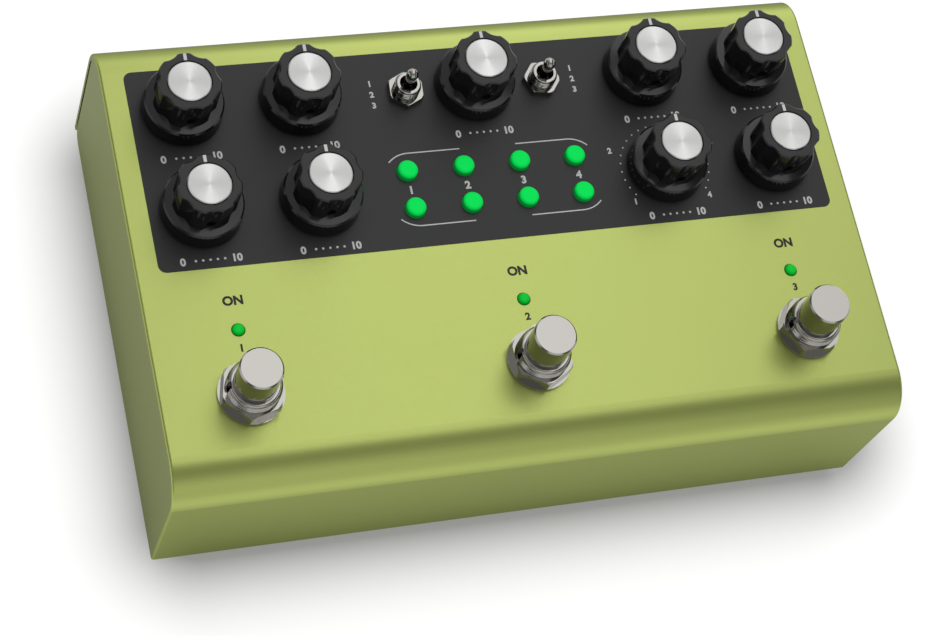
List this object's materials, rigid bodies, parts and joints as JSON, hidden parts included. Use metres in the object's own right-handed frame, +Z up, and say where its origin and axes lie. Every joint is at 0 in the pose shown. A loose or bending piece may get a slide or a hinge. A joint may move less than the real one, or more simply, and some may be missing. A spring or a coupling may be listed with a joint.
{
  "type": "delay effect pedal",
  "caption": "Low folded-sheet delay pedal with fluted skirted knobs, mini toggles, lit push buttons, indicator lamps and latching foot switches; jacks and sockets along the rear wall.",
  "frame": {"origin": "centre of the bounding box at the underside of the rubber feet", "axes": "+X to the player's right along the long side, +Y to the rear with the jacks, +Z up through the control face"},
  "size_m": [0.178, 0.1194, 0.0641],
  "materials": {
    "anodised_shell": "satin lime-green anodised",
    "dark_steel": "blackened",
    "foot_rubber": "matte",
    "board_green": "solder-masked laminate",
    "standoff_brass": "turned",
    "housing_steel": "plated",
    "nickel": "bright nickel plate",
    "lamp_green": "clear lens, lit green",
    "button_green": "translucent, lit green",
    "black_plastic": "moulded",
    "knob_black": "glossy flutes, satin top",
    "cap_aluminium": "turned",
    "shaft_aluminium": "turned"
  },
  "bodies": {
    "base": {"enclosure": "anodised_shell", "bottom_plate": "anodised_shell", "bottom_screws": "dark_steel", "rubber_feet": "foot_rubber", "control_board": "board_green", "main_board": "board_green", "board_standoffs": "standoff_brass", "pot_housings": "housing_steel", "toggle_bodies": "nickel", "toggle_nuts": "nickel", "footswitch_bodies": "nickel", "footswitch_nuts": "nickel", "footswitch_washers": "nickel", "indicator_lamps": "lamp_green", "button_switches": "black_plastic", "audio_jacks": "black_plastic", "jack_nuts": "nickel", "round_sockets": "black_plastic", "data_socket": "housing_steel", "power_inlet": "black_plastic"},
    "turn_rear_1": {"knob_rear_1": "knob_black", "knob_cap_rear_1": "cap_aluminium", "shaft_rear_1": "shaft_aluminium"},
    "turn_rear_2": {"knob_rear_2": "knob_black", "knob_cap_rear_2": "cap_aluminium", "shaft_rear_2": "shaft_aluminium"},
    "turn_rear_3": {"knob_rear_3": "knob_black", "knob_cap_rear_3": "cap_aluminium", "shaft_rear_3": "shaft_aluminium"},
    "turn_rear_4": {"knob_rear_4": "knob_black", "knob_cap_rear_4": "cap_aluminium", "shaft_rear_4": "shaft_aluminium"},
    "turn_rear_5": {"knob_rear_5": "knob_black", "knob_cap_rear_5": "cap_aluminium", "shaft_rear_5": "shaft_aluminium"},
    "turn_front_1": {"knob_front_1": "knob_black", "knob_cap_front_1": "cap_aluminium", "shaft_front_1": "shaft_aluminium"},
    "turn_front_2": {"knob_front_2": "knob_black", "knob_cap_front_2": "cap_aluminium", "shaft_front_2": "shaft_aluminium"},
    "turn_front_3": {"knob_front_3": "knob_black", "knob_cap_front_3": "cap_aluminium", "shaft_front_3": "shaft_aluminium"},
    "turn_front_4": {"knob_front_4": "knob_black", "knob_cap_front_4": "cap_aluminium", "shaft_front_4": "shaft_aluminium"},
    "lever_left": {"toggle_lever_left": "nickel"},
    "lever_right": {"toggle_lever_right": "nickel"},
    "plunger_left": {"footswitch_plunger_left": "nickel"},
    "plunger_middle": {"footswitch_plunger_middle": "nickel"},
    "plunger_right": {"footswitch_plunger_right": "nickel"},
    "press_rear_1": {"button_rear_1": "button_green"},
    "press_rear_2": {"button_rear_2": "button_green"},
    "press_rear_3": {"button_rear_3": "button_green"},
    "press_rear_4": {"button_rear_4": "button_green"},
    "press_front_1": {"button_front_1": "button_green"},
    "press_front_2": {"button_front_2": "button_green"},
    "press_front_3": {"button_front_3": "button_green"},
    "press_front_4": {"button_front_4": "button_green"}
  },
  "joints": [
    {"name": "knob_rear_1_turn", "type": "hinge", "parent": "base", "child": "turn_rear_1", "pos_m": [-0.0714, 0.0344, 0.0487], "axis": [0, 0, -1], "range_deg": [-150, 150]},
    {"name": "knob_rear_2_turn", "type": "hinge", "parent": "base", "child": "turn_rear_2", "pos_m": [-0.0432, 0.0344, 0.0487], "axis": [0, 0, -1], "range_deg": [-150, 150]},
    {"name": "knob_rear_3_turn", "type": "hinge", "parent": "base", "child": "turn_rear_3", "pos_m": [0, 0.0344, 0.0487], "axis": [0, 0, -1], "range_deg": [-150, 150]},
    {"name": "knob_rear_4_turn", "type": "hinge", "parent": "base", "child": "turn_rear_4", "pos_m": [0.0432, 0.0344, 0.0487], "axis": [0, 0, -1], "range_deg": [-150, 150]},
    {"name": "knob_rear_5_turn", "type": "hinge", "parent": "base", "child": "turn_rear_5", "pos_m": [0.0714, 0.0344, 0.0487], "axis": [0, 0, -1], "range_deg": [-150, 150]},
    {"name": "knob_front_1_turn", "type": "hinge", "parent": "base", "child": "turn_front_1", "pos_m": [-0.0714, 0.0083, 0.0487], "axis": [0, 0, -1], "range_deg": [-150, 150]},
    {"name": "knob_front_2_turn", "type": "hinge", "parent": "base", "child": "turn_front_2", "pos_m": [-0.0432, 0.0083, 0.0487], "axis": [0, 0, -1], "range_deg": [-150, 150]},
    {"name": "knob_front_3_turn", "type": "hinge", "parent": "base", "child": "turn_front_3", "pos_m": [0.0432, 0.0083, 0.0487], "axis": [0, 0, -1], "range_deg": [-150, 150]},
    {"name": "knob_front_4_turn", "type": "hinge", "parent": "base", "child": "turn_front_4", "pos_m": [0.0714, 0.0083, 0.0487], "axis": [0, 0, -1], "range_deg": [-150, 150]},
    {"name": "toggle_left_tilt", "type": "hinge", "parent": "base", "child": "lever_left", "pos_m": [-0.0172, 0.0342, 0.0493], "axis": [1, 0, 0], "range_deg": [-12, 12]},
    {"name": "toggle_right_tilt", "type": "hinge", "parent": "base", "child": "lever_right", "pos_m": [0.0172, 0.0342, 0.0493], "axis": [1, 0, 0], "range_deg": [-12, 12]},
    {"name": "footswitch_left_press", "type": "slide", "parent": "base", "child": "plunger_left", "axis": [0, 0, -1], "range_m": [0, 0.0015], "stiffness_N_per_m": 3000},
    {"name": "footswitch_middle_press", "type": "slide", "parent": "base", "child": "plunger_middle", "axis": [0, 0, -1], "range_m": [0, 0.0015], "stiffness_N_per_m": 3000},
    {"name": "footswitch_right_press", "type": "slide", "parent": "base", "child": "plunger_right", "axis": [0, 0, -1], "range_m": [0, 0.0015], "stiffness_N_per_m": 3000},
    {"name": "button_rear_1_press", "type": "slide", "parent": "base", "child": "press_rear_1", "axis": [0, 0, -1], "range_m": [0, 0.0006], "stiffness_N_per_m": 800},
    {"name": "button_rear_2_press", "type": "slide", "parent": "base", "child": "press_rear_2", "axis": [0, 0, -1], "range_m": [0, 0.0006], "stiffness_N_per_m": 800},
    {"name": "button_rear_3_press", "type": "slide", "parent": "base", "child": "press_rear_3", "axis": [0, 0, -1], "range_m": [0, 0.0006], "stiffness_N_per_m": 800},
    {"name": "button_rear_4_press", "type": "slide", "parent": "base", "child": "press_rear_4", "axis": [0, 0, -1], "range_m": [0, 0.0006], "stiffness_N_per_m": 800},
    {"name": "button_front_1_press", "type": "slide", "parent": "base", "child": "press_front_1", "axis": [0, 0, -1], "range_m": [0, 0.0006], "stiffness_N_per_m": 800},
    {"name": "button_front_2_press", "type": "slide", "parent": "base", "child": "press_front_2", "axis": [0, 0, -1], "range_m": [0, 0.0006], "stiffness_N_per_m": 800},
    {"name": "button_front_3_press", "type": "slide", "parent": "base", "child": "press_front_3", "axis": [0, 0, -1], "range_m": [0, 0.0006], "stiffness_N_per_m": 800},
    {"name": "button_front_4_press", "type": "slide", "parent": "base", "child": "press_front_4", "axis": [0, 0, -1], "range_m": [0, 0.0006], "stiffness_N_per_m": 800}
  ]
}
